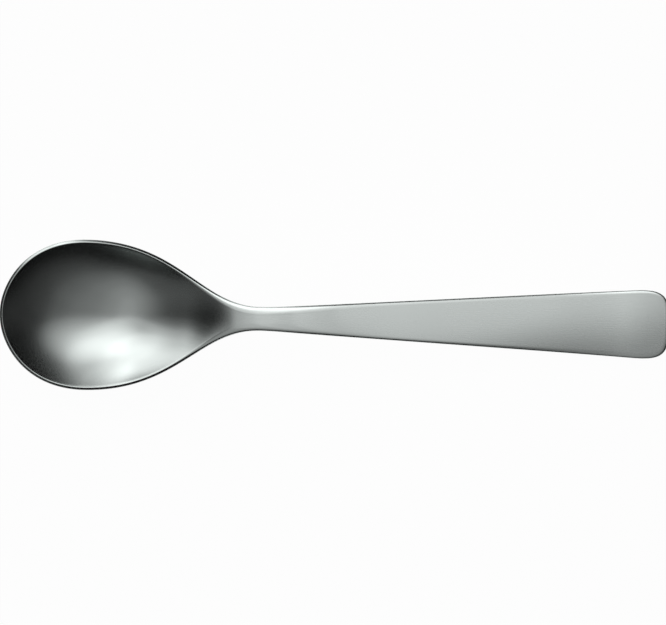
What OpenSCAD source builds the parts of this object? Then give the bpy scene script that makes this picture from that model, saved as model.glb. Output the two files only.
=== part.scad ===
// Table spoon with an egg-shaped bowl and a straight, widening handle.
// Pressed from one blank of stainless steel. The two nodes meet at the narrowest section of the neck.
// +X runs from the bowl to the handle, +Y across, +Z up. The spoon lies on z = 0, hollow side up.
// All lengths are in millimetres. Places along the spoon are measured from the tip of the bowl.

/* [Overall] */
// Length of the spoon, from the tip of the bowl to the end of the handle
spoon_l = 160; // [130:1:210]

/* [Bowl] */
// Width of the bowl over its rim
bowl_w = 35.8; // [28:0.2:44]
// Place of the widest point
bowl_widest_at = 20.5; // [16:0.5:26]
// Depth of the hollow below the rim
bowl_depth = 7.6; // [5:0.1:10]
// Place of the deepest point
bowl_deepest_at = 27; // [22:0.5:32]
// Slope of the inner wall at the tip, in degrees
tip_angle = 30; // [22:1:38]
// Radius of the lengthwise curve at the bowl's floor
floor_r = 31; // [25:1:60]
// Upright thickness of the rim's edge
rim_t = 0.65; // [0.6:0.05:1.2]
// Width of the bevel around the rim
rim_bevel = 0.6; // [0.3:0.05:0.6]
// Depth of the rounding inside the rim's bevel
rim_round = 0.2; // [0.1:0.05:0.4]
// Thickness of the floor at its deepest point
floor_t = 1.4; // [1:0.05:2.2]
// Radius of the curve with which the hollow runs out into the neck
runout_r = 30; // [20:1:60]
// Place of the heel, where the rim begins to sweep up to the neck
heel_at = 44; // [40:0.5:48]
// Height of the rim at the heel above the rim at the tip
heel_rise = 0.4; // [0:0.1:1.5]
// Radius of the sweep at the heel, seen from the side
heel_r = 100; // [60:5:300]

/* [Neck] */
// Place of the narrowest section
neck_at = 62; // [56:0.5:72]
// Width of the narrowest section
neck_w = 5.64; // [4.4:0.02:9]
// Thickness of the narrowest section
neck_t = 3.2; // [2:0.1:4.4]
// Width of the bevel along the neck
neck_bevel = 0.6; // [0.2:0.05:0.8]
// Depth of the rounding inside the neck's bevel
neck_round = 1.1; // [0.5:0.1:1.4]
// Length of plain neck between the hollow and the narrowest section
plain_neck_l = 5; // [2:0.5:8]
// Length over which the rim thickens into the neck
swell_l = 24; // [14:1:32]
// Height of the neck's edges above the rim at the tip
neck_rise = 5; // [3:0.2:8]
// Radius of the arch over the neck, seen from the side
neck_arch_r = 45; // [35:5:200]
// Length of the curve between the neck and the straight taper
neck_blend = 4.4; // [2:0.2:10]

/* [Handle] */
// Width of the handle where its rounded end begins
handle_w = 16.2; // [11:0.1:24]
// Thickness of the handle along its edges
handle_t = 2.1; // [1.4:0.1:3.2]
// Width of the bevel along the handle
handle_bevel = 0.35; // [0.2:0.05:0.6]
// Depth of the rounding inside the handle's bevel
handle_round = 0.6; // [0.2:0.05:1]
// Length of the rounded end
end_l = 9; // [5:0.5:12]
// Radius of the crown across the top of the handle
crown_r = 140; // [60:5:400]
// Length of the flat underside that lies on the table
rest_l = 11; // [9:0.5:24]
// Radius of the curve that brings the handle down to its flat
rest_curve_r = 70; // [50:5:400]

/* [Hidden] */

steel = [0.71, 0.73, 0.72];

// Counts of steps along the outline and around a section
nose_steps = 18;
flank_steps = 30;
blend_steps = 4;
taper_steps = 36;
end_steps = 14;
top_steps = 22;
back_steps = 22;
corner_steps = 2;
edge_steps = 2*corner_steps + 2;
loop_steps = top_steps + back_steps + 2*edge_steps;

// Fullness of the outline's curves, as shares of their length or width
nose_side = 0.41;
nose_front = 0.7;
flank_front = 0.53;
flank_back = 0.34;
end_side = 0.8;
end_front = 0.93;

// Lengthwise slopes of the rim at the tip, at the heel and at the neck
tip_slope = 0.02;
heel_slope = 0.1;
neck_slope = 0.12;
// Lengthwise bend of the hollow at the tip, per millimetre
tip_bend = 0.008;
// Slope of the bevel on every edge, in degrees
bevel_angle = 41;
// Depth of the rounding under every edge
foot_round = 0.3;
// Shares of the bevel that its rounded top takes at the rim, the neck and the handle
rim_share = 0.2;
neck_share = 0.7;
handle_share = 0.6;
// Share of the upright side that its rounded foot takes
foot_share = 0.2;
// Length over which the handle thins behind the neck
thin_l = 34;
// Length over which the crown comes in behind the hollow
crown_in_l = 12;
// Depth taken off the handle's underside to make its flat
dress = 0.02;

hollow_end_at = neck_at - plain_neck_l;
swell_at = neck_at - swell_l;
bowl_half = bowl_w/2;
neck_half = neck_w/2;
end_half = handle_w/2;
end_at = spoon_l - end_l;
rest_at = spoon_l - rest_l;
blend_end_at = neck_at + neck_blend;
taper = (end_half - neck_half)/(end_at - neck_at - neck_blend/2);

// Half of the outline seen from above, as cubic curves of four points each
widest = [bowl_widest_at, bowl_half];
neck = [neck_at, neck_half];
blend_end = [blend_end_at, neck_half + taper*neck_blend/2];
taper_end = [end_at, end_half];
flank_l = neck_at - bowl_widest_at;
nose = [
    [0, 0],
    [0, nose_side*bowl_half],
    widest - [nose_front*bowl_widest_at, 0],
    widest
];
flank = [
    widest,
    widest + [flank_front*flank_l, 0],
    neck - [flank_back*flank_l, 0],
    neck
];
blend = [
    neck,
    neck + [neck_blend/3, 0],
    blend_end - neck_blend/3*[1, taper],
    blend_end
];
bar = [
    blend_end,
    (2*blend_end + taper_end)/3,
    (blend_end + 2*taper_end)/3,
    taper_end
];
round_end = [
    taper_end,
    taper_end + end_side*end_l*[1, taper],
    [spoon_l, end_front*end_half],
    [spoon_l, 0]
];

function between(a, b, share) = a + (b - a)*share;

// Eases from 0 at place a to 1 at place b, with no kink in slope or bend
function ramp(s, a, b) =
    let (u = max(0, min(1, (s - a)/(b - a))))
    u*u*u*(u*(6*u - 15) + 10);

// Height at place s of the curve between two knots [place, height, slope, bend]
function knot_curve(a, b, s) =
    let (
        run = b[0] - a[0],
        u = (s - a[0])/run,
        v = 1 - u,
        from_a = a[1] + (3*a[1] + a[2]*run)*u + (6*a[1] + 3*a[2]*run + a[3]*run*run/2)*u*u,
        from_b = b[1] + (3*b[1] - b[2]*run)*v + (6*b[1] - 3*b[2]*run + b[3]*run*run/2)*v*v
    )
    v*v*v*from_a + u*u*u*from_b;

// Point and outward direction at share t of a cubic curve
function curve_point(c, t) =
    pow(1 - t, 3)*c[0] + 3*t*pow(1 - t, 2)*c[1] + 3*t*t*(1 - t)*c[2] + pow(t, 3)*c[3];
function curve_out(c, t) =
    let (d = pow(1 - t, 2)*(c[1] - c[0]) + 2*t*(1 - t)*(c[2] - c[1]) + t*t*(c[3] - c[2]))
    [-d[1], d[0]]/norm(d);

// Stations [outline point, outward direction] along a cubic curve
function stations(c, steps, first) =
    [for (i = [first:steps]) [curve_point(c, i/steps), curve_out(c, i/steps)]];

bowl_line = concat(stations(nose, nose_steps, 0), stations(flank, flank_steps, 1));
handle_line = concat(
    stations(blend, blend_steps, 0),
    stations(bar, taper_steps, 1),
    stations(round_end, end_steps, 1)
);

// A size that eases from the rim to the neck and on to the handle
function along_spoon(s, rim, neck, handle) =
    s < neck_at
        ? between(rim, neck, ramp(s, swell_at, neck_at))
        : between(neck, handle, ramp(s, neck_at, neck_at + thin_l));

// Upright thickness of the edge, width of its bevel, and depth and share of the rounding over the bevel
function edge_t(s) = along_spoon(s, rim_t, neck_t, handle_t);
function bevel_w(s) = along_spoon(s, rim_bevel, neck_bevel, handle_bevel);
function rounding(s) = along_spoon(s, rim_round, neck_round, handle_round);
function top_share(s) = along_spoon(s, rim_share, neck_share, handle_share);

// Depth of the hollow along the middle
deepest = [bowl_deepest_at, bowl_depth, 0, -1/floor_r];
function hollow(s) =
    s <= bowl_deepest_at ? knot_curve([0, 0, tan(tip_angle), -tip_bend], deepest, s)
    : s < hollow_end_at ? knot_curve(deepest, [hollow_end_at, 0, 0, 1/runout_r], s)
    : 0;

// Rise of the crown at half width a
function crown(s, a) = a*a/(2*crown_r)*ramp(s, hollow_end_at, hollow_end_at + crown_in_l);

// Slope of the hollow's wall where it meets the rim
function wall_tilt(station) =
    let (place = station[0][0])
    place == 0 ? tip_angle
    : place >= hollow_end_at ? 0
    : atan(2*hollow(place)/(station[0][1]*station[1][1]));

// Sag of the underside, which keeps the floor's thickness
function back_sag(s) = hollow(s)*(1 + (floor_t - edge_t(s))/bowl_depth);

// Height of the top of the edge above its height at the tip
heel = [heel_at, heel_rise, heel_slope, 1/heel_r];
function rim_rise(s) =
    s < heel_at
        ? knot_curve([0, 0, tip_slope, 0], heel, s)
        : knot_curve(heel, [neck_at, neck_rise, neck_slope, -1/neck_arch_r], s);

// The bowl stands on its lowest point
function keel(station) =
    let (s = station[0][0])
    rim_rise(s) - edge_t(s) - foot_round*sin(wall_tilt(station)) - back_sag(s);
tip_z = -min([for (station = bowl_line) keel(station)]);
neck_under_z = tip_z + neck_rise - neck_t;

// Height of the handle's underside, and of the middle of the edge all along the spoon
neck_under = [neck_at, neck_under_z, neck_slope, -1/neck_arch_r];
rest_start = [rest_at, -dress, 0, 1/rest_curve_r];
function under(s) = s >= rest_at ? -dress : knot_curve(neck_under, rest_start, s);
function edge_z(s) = s <= neck_at ? tip_z + rim_rise(s) - edge_t(s)/2 : under(s) + edge_t(s)/2;

// A rounded corner from one point to another, as a curve with the corner for its middle control point
function corner_line(from, corner, to) =
    [for (k = [0:corner_steps])
        let (t = k/corner_steps)
        pow(1 - t, 2)*from + 2*t*(1 - t)*corner + t*t*to];

// Profile [outward, up] of an edge: top, bevel, upright side on the outline, underside
function edge_profile(station) =
    let (
        place = station[0][0],
        half = edge_t(place)/2,
        bevel = bevel_w(place),
        tilt = wall_tilt(station),
        inward = -[cos(tilt), sin(tilt)],
        top = [-bevel, half],
        brow = [0, half - bevel*tan(bevel_angle)],
        foot = [0, -half]
    )
    concat(
        corner_line(top + rounding(place)*inward, top, between(top, brow, top_share(place))),
        [brow],
        corner_line(between(foot, brow, foot_share), foot, foot + foot_round*inward)
    );

// Points of the edge at a station, from its top to its underside
function edge_line(station) =
    [for (p = edge_profile(station))
        let (at = station[0] + p[0]*station[1])
        [at[0] - spoon_l/2, at[1], edge_z(station[0][0]) + p[1]]];

// Point at share u, from -1 to 1, of a parabola across the spoon that sags between its ends
function bow_point(end, sag, u) = [end[0], end[1]*u, end[2] - sag*(1 - u*u)];
function mirrored(p) = [p[0], -p[1], p[2]];

// One closed section: top from +Y to -Y, edge, underside back to +Y, edge
function section(station) =
    let (
        place = station[0][0],
        edge = edge_line(station),
        top = edge[0],
        foot = edge[edge_steps],
        top_sag = hollow(place) - crown(place, top[1])
    )
    concat(
        [for (j = [0:top_steps]) bow_point(top, top_sag, 1 - 2*j/top_steps)],
        [for (k = [1:edge_steps - 1]) mirrored(edge[k])],
        [for (j = [0:back_steps]) bow_point(foot, back_sag(place), 2*j/back_steps - 1)],
        [for (k = [edge_steps - 1:-1:1]) edge[k]]
    );

// At the tip and at the end a section closes to one edge line, and its points fall on that
function on_pole(j) =
    j <= top_steps ? 0
    : j < top_steps + edge_steps ? j - top_steps
    : j <= top_steps + edge_steps + back_steps ? edge_steps
    : loop_steps - j;

function flat(lists) = [for (list = lists) each list];
function next(j) = (j + 1)%loop_steps;
function on_minus_side(j) = j >= top_steps/2 && j < top_steps + edge_steps + back_steps/2;

// Two triangles between neighbouring sections, with their diagonals alike on both sides
function strip(a, b, j) =
    on_minus_side(j)
        ? [[a + j, b + j, a + next(j)], [b + j, b + next(j), a + next(j)]]
        : [[a + j, b + j, b + next(j)], [a + j, b + next(j), a + next(j)]];
function skin(first, sections) =
    [for (i = [0:sections - 2], j = [0:loop_steps - 1])
        each strip(first + i*loop_steps, first + (i + 1)*loop_steps, j)];

// Triangles that close the skin on a pole, and on a flat cut with a middle point
function pole_fan(first_pole, first, j) =
    let (p = first_pole + on_pole(j), q = first_pole + on_pole(next(j)))
    concat([[p, first + j, first + next(j)]], p == q ? [] : [[p, first + next(j), q]]);
function pole_cap(first_pole, first) = [for (j = [0:loop_steps - 1]) each pole_fan(first_pole, first, j)];
function cut_cap(middle, first) = [for (j = [0:loop_steps - 1]) [middle, first + j, first + next(j)]];
function turned(faces) = [for (f = faces) [f[0], f[2], f[1]]];

// Middle point of the cut at the neck, shared by both pieces
neck_middle = [neck_at - spoon_l/2, 0, edge_z(neck_at)];

// The hollow bowl, from its tip to the neck
module bowl() {
    count = len(bowl_line);
    body = [for (i = [1:count - 1]) section(bowl_line[i])];
    first = edge_steps + 1;
    last = first + (count - 2)*loop_steps;
    middle = last + loop_steps;
    color(steel)
        polyhedron(
            points = concat(edge_line(bowl_line[0]), flat(body), [neck_middle]),
            faces = concat(
                pole_cap(0, first),
                skin(first, count - 1),
                turned(cut_cap(middle, last))
            ),
            convexity = 6
        );
}

// The handle, from the neck to its rounded end, dressed flat where it lies on the table
module handle() {
    count = len(handle_line);
    body = [for (i = [0:count - 2]) section(handle_line[i])];
    last = (count - 2)*loop_steps;
    first_pole = last + loop_steps;
    middle = first_pole + edge_steps + 1;
    color(steel)
        difference() {
            polyhedron(
                points = concat(flat(body), edge_line(handle_line[count - 1]), [neck_middle]),
                faces = concat(
                    cut_cap(middle, 0),
                    skin(0, count - 1),
                    turned(pole_cap(first_pole, last))
                ),
                convexity = 4
            );
            translate([0, -handle_w, -2*handle_t])
                cube([spoon_l, 2*handle_w, 2*handle_t]);
        }
}

bowl();
handle();
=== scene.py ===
"""Satin steel spoon: its skin, finish, light and camera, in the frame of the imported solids."""
import math

import bmesh
import bpy
from mathutils import Euler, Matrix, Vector


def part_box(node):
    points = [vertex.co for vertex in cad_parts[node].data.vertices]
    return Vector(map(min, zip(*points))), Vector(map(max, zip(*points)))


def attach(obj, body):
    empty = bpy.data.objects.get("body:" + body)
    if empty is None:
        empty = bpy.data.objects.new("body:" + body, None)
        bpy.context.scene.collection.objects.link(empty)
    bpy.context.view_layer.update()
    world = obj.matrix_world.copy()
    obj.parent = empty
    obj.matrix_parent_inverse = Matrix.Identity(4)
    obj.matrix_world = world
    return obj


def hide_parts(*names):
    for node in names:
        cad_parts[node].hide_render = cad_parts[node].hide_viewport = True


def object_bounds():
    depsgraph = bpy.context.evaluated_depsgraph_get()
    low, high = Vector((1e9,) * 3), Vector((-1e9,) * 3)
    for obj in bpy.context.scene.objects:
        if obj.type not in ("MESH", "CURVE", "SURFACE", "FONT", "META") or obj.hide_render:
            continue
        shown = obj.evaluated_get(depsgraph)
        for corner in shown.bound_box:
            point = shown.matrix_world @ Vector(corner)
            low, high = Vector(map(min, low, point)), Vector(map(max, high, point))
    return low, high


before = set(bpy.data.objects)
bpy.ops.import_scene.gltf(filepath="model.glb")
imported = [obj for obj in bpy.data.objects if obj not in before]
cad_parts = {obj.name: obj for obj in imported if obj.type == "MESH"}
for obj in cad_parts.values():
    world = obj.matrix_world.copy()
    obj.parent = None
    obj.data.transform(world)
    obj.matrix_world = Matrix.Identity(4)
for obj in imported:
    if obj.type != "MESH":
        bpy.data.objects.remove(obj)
cad_low, cad_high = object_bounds()

# Sizes of the spoon, in millimetres. Places along it are measured from the tip of the bowl.
MM = 0.001
SPOON_L = (cad_high.x - cad_low.x) / MM
NECK_AT = (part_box("bowl")[1].x - cad_low.x) / MM

# Bowl: outline, hollow, rim and heel
BOWL_HALF = (cad_high.y - cad_low.y) / MM / 2
WIDEST_AT = 20.5
BOWL_DEPTH = 7.6
DEEPEST_AT = 27.0
FLOOR_R = 31.0
FLOOR_T = 1.4
RUNOUT_R = 30.0
TIP_ANGLE = math.radians(30)
TIP_BEND = 0.008
TIP_SLOPE = 0.02
RIM_T = 0.65
RIM_BEVEL = 0.6
RIM_ROUND = 0.2
HEEL_AT = 44.0
HEEL_RISE = 0.4
HEEL_SLOPE = 0.1
HEEL_R = 100.0

# Neck, with the lengths over which the edge swells before it and thins behind it
NECK_HALF = 2.82
NECK_T = 3.2
NECK_BEVEL = 0.6
NECK_ROUND = 1.1
NECK_RISE = 5.0
NECK_SLOPE = 0.12
NECK_ARCH_R = 45.0
NECK_BLEND = 4.4
PLAIN_NECK_L = 5.0
SWELL_L = 24.0
THIN_L = 34.0

# Handle, with the length over which its crown sets in
END_HALF = 8.1
END_L = 9.0
HANDLE_T = 2.1
HANDLE_BEVEL = 0.35
HANDLE_ROUND = 0.6
CROWN_R = 140.0
CROWN_IN_L = 12.0
REST_L = 11.0
REST_CURVE_R = 70.0

# Slope of the bevel, and rounding where the edge meets the underside
BEVEL_ANGLE = math.radians(41)
FOOT_ROUND = 0.3
# Shares of the bevel and of the side that their rounded corners take
RIM_SHARE, NECK_SHARE, HANDLE_SHARE = 0.2, 0.7, 0.6
BROW_SHARE, FOOT_SHARE = 0.06, 0.2

# Fullness of the outline's curves, as shares of their length or width
NOSE_SIDE, NOSE_FRONT = 0.41, 0.7
FLANK_FRONT, FLANK_BACK = 0.53, 0.34
END_SIDE, END_FRONT = 0.8, 0.93

# Steps of the skin along each stretch of the outline and around a section
NOSE_STEPS, FLANK_STEPS = 72, 120
BLEND_STEPS, BAR_STEPS, END_STEPS = 8, 64, 60
TOP_STEPS, CORNER_STEPS, BACK_STEPS = 72, 5, 72
EDGE_STEPS = 3 * CORNER_STEPS + 2
ROUND_STEPS = TOP_STEPS + BACK_STEPS + 2 * EDGE_STEPS
# Points of the skin that lie closer than this are one point, in metres
SEAM_GAP = 1e-8

# Dullness of the steel, and width of the band beside an edge that polishing has smoothed
BOWL_DULL, HANDLE_DULL, EDGE_DULL = 0.22, 0.27, 0.2
GRAIN_DULL, HANDLING_DULL = 0.03, 0.04
POLISH_W = 0.5
# Brushing: where it sets in, the size of its streaks and hairlines, and how much of it the bowl has
BRUSH_AT, BRUSH_IN_L = 48.0, 14.0
GRAIN_L, GRAIN_W, GRAIN_DEPTH = 12.0, 0.12, 0.004
HAIRLINE_L, HAIRLINE_W, HAIRLINE_SHARE = 36.0, 0.048, 0.4
BOWL_GRAIN = 0.1
# Traces of handling, in waves per metre along each axis
HANDLING_WAVES = (55, 70, 70)
# Colours of the steel, and what moves it from the first to the second
DARK_STEEL = (0.545, 0.583, 0.569, 1)
LIGHT_STEEL = (0.722, 0.764, 0.748, 1)
BOWL_TINT, BRUSH_TINT, GRAIN_TINT, HANDLING_TINT = 0.2, 0.5, 0.1, 0.12

# Table, room and lamps, in metres. The gap parts the layers of one lamp, in shares of its height.
FLOOR_HALF = 6.0
FLOOR_PAINT = (0.9, 0.9, 0.9, 1)
FLOOR_GLOW = 0.97
WHITE = (1, 1, 1, 1)
ROOM_LIGHT = 0.0005
FADE_LAYERS = 4
LAYER_GAP = 0.004

# Framing of the photograph: the spoon's length in pixels gives the size of one, in metres
IMAGE_W = 666
SPOON_PIXELS = 672.3
PIXEL = SPOON_L * MM / SPOON_PIXELS
CAMERA_DISTANCE = 1.5
CAMERA_LEAN = math.radians(2.1)
CAMERA_ROLL = math.radians(1.1)
VIEW_CENTRE = Vector((-0.00065, 0.0017, 0.009))
SENSOR_W = 36.0
CLIP_NEAR, CLIP_FAR = 0.05, 20.0

HOLLOW_END_AT = NECK_AT - PLAIN_NECK_L
SWELL_AT = NECK_AT - SWELL_L
END_AT = SPOON_L - END_L
REST_AT = SPOON_L - REST_L
TAPER = (END_HALF - NECK_HALF) / (END_AT - NECK_AT - NECK_BLEND / 2)

# Half of the outline seen from above, as cubic curves of four points each
TIP = Vector((0, 0))
WIDEST = Vector((WIDEST_AT, BOWL_HALF))
NECK = Vector((NECK_AT, NECK_HALF))
BLEND_END = NECK + NECK_BLEND * Vector((1, TAPER / 2))
BAR_END = Vector((END_AT, END_HALF))
ALONG = Vector((1, 0))
ALONG_BAR = Vector((1, TAPER))
FLANK_L = NECK_AT - WIDEST_AT
NOSE_CURVE = (TIP, Vector((0, NOSE_SIDE * BOWL_HALF)), WIDEST - NOSE_FRONT * WIDEST_AT * ALONG, WIDEST)
FLANK_CURVE = (WIDEST, WIDEST + FLANK_FRONT * FLANK_L * ALONG, NECK - FLANK_BACK * FLANK_L * ALONG, NECK)
BLEND_CURVE = (NECK, NECK + NECK_BLEND / 3 * ALONG, BLEND_END - NECK_BLEND / 3 * ALONG_BAR, BLEND_END)
BAR_CURVE = (BLEND_END, BLEND_END.lerp(BAR_END, 1 / 3), BLEND_END.lerp(BAR_END, 2 / 3), BAR_END)
END_CURVE = (
    BAR_END,
    BAR_END + END_SIDE * END_L * ALONG_BAR,
    Vector((SPOON_L, END_FRONT * END_HALF)),
    Vector((SPOON_L, 0)),
)


def mix(a, b, share):
    """What lies at a share of the way from a to b, for numbers and shader values."""
    return a + (b - a) * share


def ease(place, start, end):
    """Goes from 0 at start to 1 at end, with no kink in slope or bend."""
    u = min(1, max(0, (place - start) / (end - start)))
    return u**3 * (u * (6 * u - 15) + 10)


def knot_curve(a, b, place):
    """Height at a place of the curve between two knots (place, height, slope, bend)."""
    run = b[0] - a[0]
    u = (place - a[0]) / run
    v = 1 - u
    from_a = a[1] + (3 * a[1] + a[2] * run) * u + (6 * a[1] + 3 * a[2] * run + a[3] * run * run / 2) * u * u
    from_b = b[1] + (3 * b[1] - b[2] * run) * v + (6 * b[1] - 3 * b[2] * run + b[3] * run * run / 2) * v * v
    return v**3 * from_a + u**3 * from_b


def station(curve, share):
    """Point on the outline and outward direction there."""
    a, b, c, d = curve
    t, v = share, 1 - share
    point = v**3 * a + 3 * t * v * v * b + 3 * t * t * v * c + t**3 * d
    way = v * v * (b - a) + 2 * t * v * (c - b) + t * t * (d - c)
    return point, Vector((-way.y, way.x)).normalized()


def stations(*stretches):
    """Stations along curves that follow each other, given as (curve, steps)."""
    line = [station(stretches[0][0], 0)]
    for curve, steps in stretches:
        line += [station(curve, i / steps) for i in range(1, steps + 1)]
    return line


def along_spoon(place, rim, neck, handle):
    """A size that eases from the rim to the neck and on to the handle."""
    if place < NECK_AT:
        return mix(rim, neck, ease(place, SWELL_AT, NECK_AT))
    return mix(neck, handle, ease(place, NECK_AT, NECK_AT + THIN_L))


def edge_t(place):
    """Upright thickness of the edge."""
    return along_spoon(place, RIM_T, NECK_T, HANDLE_T)


def hollow(place):
    """Depth of the hollow along the middle."""
    deepest = (DEEPEST_AT, BOWL_DEPTH, 0, -1 / FLOOR_R)
    if place <= DEEPEST_AT:
        return knot_curve((0, 0, math.tan(TIP_ANGLE), -TIP_BEND), deepest, place)
    if place < HOLLOW_END_AT:
        return knot_curve(deepest, (HOLLOW_END_AT, 0, 0, 1 / RUNOUT_R), place)
    return 0


def crown(place, half_width):
    """Height of the crown's middle above the edge."""
    return half_width**2 / (2 * CROWN_R) * ease(place, HOLLOW_END_AT, HOLLOW_END_AT + CROWN_IN_L)


def wall_tilt(point, out):
    """Slope of the hollow's wall where it meets the rim."""
    depth = hollow(point.x)
    if point.x == 0:
        return TIP_ANGLE
    return math.atan(2 * depth / (point.y * out.y)) if depth else 0


def back_sag(place):
    """Sag of the underside, which keeps the floor's thickness."""
    return hollow(place) * (1 + (FLOOR_T - edge_t(place)) / BOWL_DEPTH)


def rim_rise(place):
    """Height of the top of the edge above its height at the tip."""
    heel = (HEEL_AT, HEEL_RISE, HEEL_SLOPE, 1 / HEEL_R)
    if place < HEEL_AT:
        return knot_curve((0, 0, TIP_SLOPE, 0), heel, place)
    return knot_curve(heel, (NECK_AT, NECK_RISE, NECK_SLOPE, -1 / NECK_ARCH_R), place)


def keel(point, out):
    """Height of the bowl's lowest line above the rim at the tip."""
    drop = edge_t(point.x) + FOOT_ROUND * math.sin(wall_tilt(point, out))
    return rim_rise(point.x) - drop - back_sag(point.x)


BOWL_LINE = stations((NOSE_CURVE, NOSE_STEPS), (FLANK_CURVE, FLANK_STEPS))
HANDLE_LINE = stations((BLEND_CURVE, BLEND_STEPS), (BAR_CURVE, BAR_STEPS), (END_CURVE, END_STEPS))
TIP_Z = -min(keel(point, out) for point, out in BOWL_LINE)
NECK_UNDER = (NECK_AT, TIP_Z + NECK_RISE - NECK_T, NECK_SLOPE, -1 / NECK_ARCH_R)
REST_START = (REST_AT, 0, 0, 1 / REST_CURVE_R)


def edge_z(place):
    """Height of the middle of the edge."""
    if place <= NECK_AT:
        return TIP_Z + rim_rise(place) - edge_t(place) / 2
    under = 0 if place >= REST_AT else knot_curve(NECK_UNDER, REST_START, place)
    return under + edge_t(place) / 2


def end_arch(place, top_y):
    """Rise of the edge around the handle's end, so that the crown keeps its curve up to the end."""
    bar_top_y = END_HALF - HANDLE_BEVEL - HANDLE_ROUND
    return max(0, bar_top_y**2 - top_y**2) / (2 * CROWN_R) if place > END_AT else 0


def corner_line(before, corner, after):
    """A rounded corner between two points, as a curve with the corner as its middle control point."""
    shares = [k / CORNER_STEPS for k in range(CORNER_STEPS + 1)]
    return [(1 - t) ** 2 * before + 2 * t * (1 - t) * corner + t * t * after for t in shares]


def edge_line(point, out):
    """The edge at a station: top, bevel, upright side on the outline, underside, with rounded corners."""
    place = point.x
    bevel = along_spoon(place, RIM_BEVEL, NECK_BEVEL, HANDLE_BEVEL)
    shoulder = along_spoon(place, RIM_ROUND, NECK_ROUND, HANDLE_ROUND)
    top_share = along_spoon(place, RIM_SHARE, NECK_SHARE, HANDLE_SHARE)
    tilt = wall_tilt(point, out)
    inward = -Vector((math.cos(tilt), math.sin(tilt)))
    top = Vector((-bevel, edge_t(place) / 2))
    brow = Vector((0, edge_t(place) / 2 - bevel * math.tan(BEVEL_ANGLE)))
    foot = Vector((0, -edge_t(place) / 2))
    profile = (
        corner_line(top + shoulder * inward, top, top.lerp(brow, top_share))
        + corner_line(brow.lerp(top, BROW_SHARE), brow, brow.lerp(foot, BROW_SHARE))
        + corner_line(foot.lerp(brow, FOOT_SHARE), foot, foot + FOOT_ROUND * inward)
    )
    arch = end_arch(place, point.y + profile[0].x * out.y)
    line = []
    for across, up in profile:
        at = point + across * out
        lift = arch * (0.5 + up / edge_t(place))
        line.append(Vector((at.x, at.y, edge_z(place) + up + lift)))
    return line


def bow_line(end, sag, steps):
    """A parabola from an edge across to its mirror image, dropping by sag in the middle."""
    shares = [1 - 2 * j / steps for j in range(steps + 1)]
    return [Vector((end.x, end.y * u, end.z - sag * (1 - u * u))) for u in shares]


def section(point, out):
    """A closed section: top from +Y to -Y, edge, underside back to +Y, edge. Pairs of (point, edge share)."""
    edge = edge_line(point, out)
    top, foot = edge[0], edge[-1]
    over = bow_line(top, hollow(point.x) - crown(point.x, top.y), TOP_STEPS)
    back = bow_line(foot, back_sag(point.x), BACK_STEPS)
    mirrored = [Vector((p.x, -p.y, p.z)) for p in edge]
    loop = over + mirrored[1:-1] + back[::-1] + edge[::-1][1:]
    return [(p, 1 - ease((top.y - abs(p.y)) * out.y, 0, POLISH_W)) for p in loop]


def spoon_skin(name, line):
    """A closed skin over the sections of a line of stations, laid on a grid of faces 1 by 1 in size."""
    sections = [section(point, out) for point, out in line]
    bm = bmesh.new()
    edge_share = bm.verts.layers.float.new("edge")
    bmesh.ops.create_grid(bm, x_segments=len(line) - 1, y_segments=ROUND_STEPS, size=0.5)
    for v in bm.verts:
        i = round((v.co.x + 0.5) * (len(line) - 1))
        j = round((v.co.y + 0.5) * ROUND_STEPS)
        point, share = sections[i][j]
        v.co = MM * (point - Vector((SPOON_L / 2, 0, 0)))
        v[edge_share] = share
    bmesh.ops.remove_doubles(bm, verts=bm.verts, dist=SEAM_GAP)
    for f in bm.faces:
        f.smooth = True
    cut = [e for e in bm.edges if e.is_boundary]
    bmesh.ops.edgeloop_fill(bm, edges=cut)
    for e in cut:
        e.smooth = False
    bmesh.ops.recalc_face_normals(bm, faces=bm.faces)
    mesh = bpy.data.meshes.new(name)
    bm.to_mesh(mesh)
    bm.free()
    piece = bpy.data.objects.new(name, mesh)
    bpy.context.scene.collection.objects.link(piece)
    return piece


# Colour sockets of a Mix node, by their place, because its sockets share their names
MIX_A, MIX_B, MIX_RESULT = 6, 7, 2


class Value:
    """A shader socket that takes part in sums."""

    def __init__(self, bench, socket):
        self.bench, self.socket = bench, socket

    def _math(self, operation, a, b):
        return self.bench.make("ShaderNodeMath", {"operation": operation}, {0: a, 1: b})

    def __add__(self, other):
        return self._math("ADD", self, other)

    def __sub__(self, other):
        return self._math("SUBTRACT", self, other)

    def __rsub__(self, other):
        return self._math("SUBTRACT", other, self)

    def __mul__(self, other):
        return self._math("MULTIPLY", self, other)

    __radd__ = __add__
    __rmul__ = __mul__


class Bench:
    """Lays out the nodes of one material or of the world."""

    def __init__(self, owner):
        owner.use_nodes = True
        self.tree = owner.node_tree
        self.tree.nodes.clear()

    def make(self, kind, settings=None, sockets=None, output=0):
        """Adds a node, with its settings first and then its sockets' numbers or links."""
        node = self.tree.nodes.new(kind)
        for name, value in (settings or {}).items():
            setattr(node, name, value)
        for name, value in (sockets or {}).items():
            if isinstance(value, Value):
                self.tree.links.new(value.socket, node.inputs[name])
            else:
                node.inputs[name].default_value = value
        return Value(self, node.outputs[output]) if node.outputs else None


def noise(bench, where, waves, detail=2.0):
    """Noise of about -0.5 to 0.5 over object coordinates, with so many waves per metre along each axis."""
    at = bench.make("ShaderNodeMapping", {}, {"Vector": where, "Scale": waves})
    return bench.make("ShaderNodeTexNoise", {}, {"Vector": at, "Scale": 1.0, "Detail": detail}, "Fac") - 0.5


def streak_waves(length, width):
    """Waves per metre of lengthwise streaks, from their size in millimetres."""
    return 1 / (length * MM), 1 / (width * MM), 0


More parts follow.
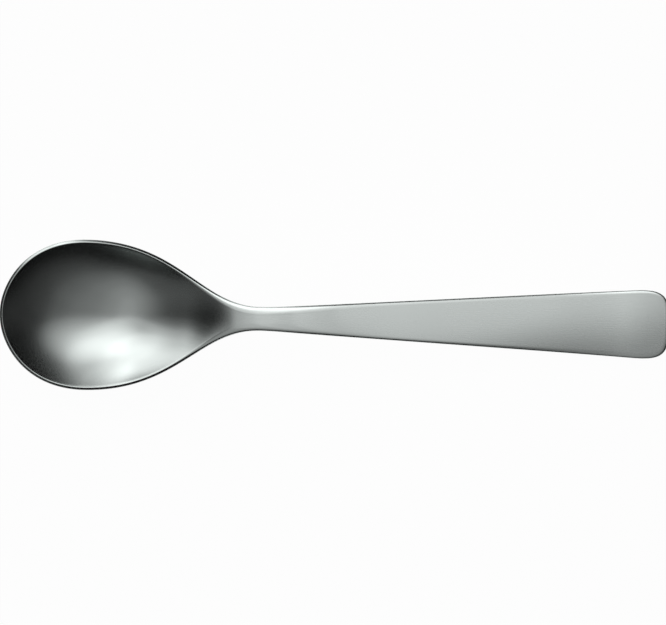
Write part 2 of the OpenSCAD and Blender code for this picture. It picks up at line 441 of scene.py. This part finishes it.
def satin_steel():
    """Stainless steel, smoothly blasted in the bowl and brushed lengthwise along the handle."""
    material = bpy.data.materials.new("satin_steel")
    bench = Bench(material)
    where = bench.make("ShaderNodeTexCoord", output="Object")
    edge = bench.make("ShaderNodeAttribute", {"attribute_name": "edge"}, output="Fac")
    x = bench.make("ShaderNodeSeparateXYZ", {}, {"Vector": where}, "X")
    brush_x = (BRUSH_AT - SPOON_L / 2) * MM
    brushed = bench.make(
        "ShaderNodeMapRange",
        {"interpolation_type": "SMOOTHSTEP"},
        {"Value": x, "From Min": brush_x, "From Max": brush_x + BRUSH_IN_L * MM},
        "Result",
    )
    grain = noise(bench, where, streak_waves(GRAIN_L, GRAIN_W), detail=3.0)
    hairlines = noise(bench, where, streak_waves(HAIRLINE_L, HAIRLINE_W))
    handling = noise(bench, where, HANDLING_WAVES, detail=4.0)
    dull = mix(BOWL_DULL, HANDLE_DULL, brushed) + GRAIN_DULL * grain + HANDLING_DULL * handling
    tint = bench.make(
        "ShaderNodeMix",
        {"data_type": "RGBA", "clamp_factor": True},
        {
            "Factor": BOWL_TINT + BRUSH_TINT * brushed + GRAIN_TINT * grain + HANDLING_TINT * handling,
            MIX_A: DARK_STEEL,
            MIX_B: LIGHT_STEEL,
        },
        MIX_RESULT,
    )
    relief = mix(BOWL_GRAIN, 1, brushed * (1 - edge)) * (grain + HAIRLINE_SHARE * hairlines)
    dent = bench.make("ShaderNodeBump", {}, {"Strength": 1.0, "Distance": GRAIN_DEPTH * MM, "Height": relief})
    steel = bench.make(
        "ShaderNodeBsdfPrincipled",
        {},
        {"Base Color": tint, "Metallic": 1.0, "Roughness": mix(dull, EDGE_DULL, edge), "Normal": dent},
    )
    bench.make("ShaderNodeOutputMaterial", {}, {"Surface": steel})
    return material


def pale_floor():
    """A white table that keeps a light shadow of the spoon."""
    material = bpy.data.materials.new("pale_table")
    bench = Bench(material)
    seen = bench.make("ShaderNodeLightPath", output="Is Camera Ray")
    seen += bench.make("ShaderNodeLightPath", output="Is Glossy Ray")
    seen += bench.make("ShaderNodeLightPath", output="Is Transmission Ray")
    paint = bench.make("ShaderNodeBsdfDiffuse", {}, {"Color": FLOOR_PAINT})
    glow = bench.make("ShaderNodeEmission", {}, {"Color": WHITE, "Strength": 1.0})
    mixed = bench.make("ShaderNodeMixShader", {}, {0: FLOOR_GLOW * seen, 1: paint, 2: glow})
    bench.make("ShaderNodeOutputMaterial", {}, {"Surface": mixed})
    bm = bmesh.new()
    bmesh.ops.create_grid(bm, x_segments=1, y_segments=1, size=FLOOR_HALF)
    mesh = bpy.data.meshes.new("table")
    bm.to_mesh(mesh)
    bm.free()
    mesh.materials.append(material)
    table = bpy.data.objects.new("table", mesh)
    bpy.context.scene.collection.objects.link(table)


def oval_lamp(name, height, centre, half_sizes, turn, core, radiance, drift=0.0):
    """A level oval lamp over the spoon, in layers, that fades outside its core. The core may lie off its
    middle by a drift along X. Centre, half sizes and drift are in heights, and the turn is in degrees."""
    for layer in range(FADE_LAYERS):
        level = height * (1 + LAYER_GAP * layer)
        share = (layer + 0.5) / FADE_LAYERS
        scale = 2 * level * mix(1, core, share)
        lamp = bpy.data.lights.new(name, "AREA")
        lamp.shape = "ELLIPSE"
        lamp.size, lamp.size_y = scale * half_sizes[0], scale * half_sizes[1]
        area = math.pi / 4 * lamp.size * lamp.size_y
        lamp.energy = math.pi * area * radiance / FADE_LAYERS
        hung = bpy.data.objects.new(name, lamp)
        hung.location = (level * (centre[0] + drift * share), level * centre[1], level)
        hung.rotation_euler = (0, 0, math.radians(turn))
        hung.visible_camera = False
        bpy.context.scene.collection.objects.link(hung)


def studio_lamps():
    """Big soft lamps behind the spoon, smaller ones above it, and a card close over the handle."""
    oval_lamp("ceiling_lamp", height=1.0, centre=(-2.9, 4.64), half_sizes=(1.85, 5.68),
              turn=32.9, core=0.57, radiance=1.4)
    oval_lamp("back_lamp", height=1.1, centre=(-1.61, 7.0), half_sizes=(1.11, 7.22),
              turn=15.3, core=0.38, radiance=1.19)
    oval_lamp("side_lamp", height=1.15, centre=(-0.13, 0.87), half_sizes=(0.73, 1.1),
              turn=49.2, core=0.37, radiance=0.86)
    oval_lamp("far_lamp", height=1.2, centre=(-1.17, -1.56), half_sizes=(1.69, 3.18),
              turn=-55.8, core=0.43, radiance=0.095)
    oval_lamp("heel_lamp", height=1.25, centre=(-1.23, 1.15), half_sizes=(0.7, 1.29),
              turn=-4.4, core=0.27, radiance=0.53)
    oval_lamp("fill_lamp", height=1.3, centre=(-0.33, -0.15), half_sizes=(1.04, 1.96),
              turn=-11.9, core=0.1, radiance=0.35)
    oval_lamp("handle_card", height=0.03, centre=(0.68, 0.11), half_sizes=(2.24, 0.75),
              turn=3.4, core=0.34, radiance=0.525, drift=0.54)


def dim_room():
    """A dark room around the lamps."""
    world = bpy.data.worlds.new("dim_room")
    bench = Bench(world)
    glow = bench.make("ShaderNodeBackground", {}, {"Color": WHITE, "Strength": ROOM_LIGHT})
    bench.make("ShaderNodeOutputWorld", {}, {"Surface": glow})
    bpy.context.scene.world = world


def overhead_camera():
    """Looks down on the spoon as the photograph does."""
    lens = bpy.data.cameras.new("overhead")
    lens.sensor_width = SENSOR_W
    lens.lens = SENSOR_W * CAMERA_DISTANCE / (IMAGE_W * PIXEL)
    lens.clip_start, lens.clip_end = CLIP_NEAR, CLIP_FAR
    camera = bpy.data.objects.new("overhead", lens)
    turn = Euler((-CAMERA_LEAN, 0, CAMERA_ROLL), "XYZ")
    camera.rotation_euler = turn
    camera.location = VIEW_CENTRE + turn.to_matrix() @ Vector((0, 0, CAMERA_DISTANCE))
    bpy.context.scene.collection.objects.link(camera)
    bpy.context.scene.camera = camera


bowl = spoon_skin("spoon_bowl", BOWL_LINE)
handle = spoon_skin("spoon_handle", HANDLE_LINE)
steel = satin_steel()
for piece, node in ((bowl, "bowl"), (handle, "handle")):
    piece.data.materials.append(steel)
    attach(piece, "root")
    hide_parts(node)

pale_floor()
dim_room()
studio_lamps()
overhead_camera()
bpy.context.scene.view_settings.view_transform = "Standard"
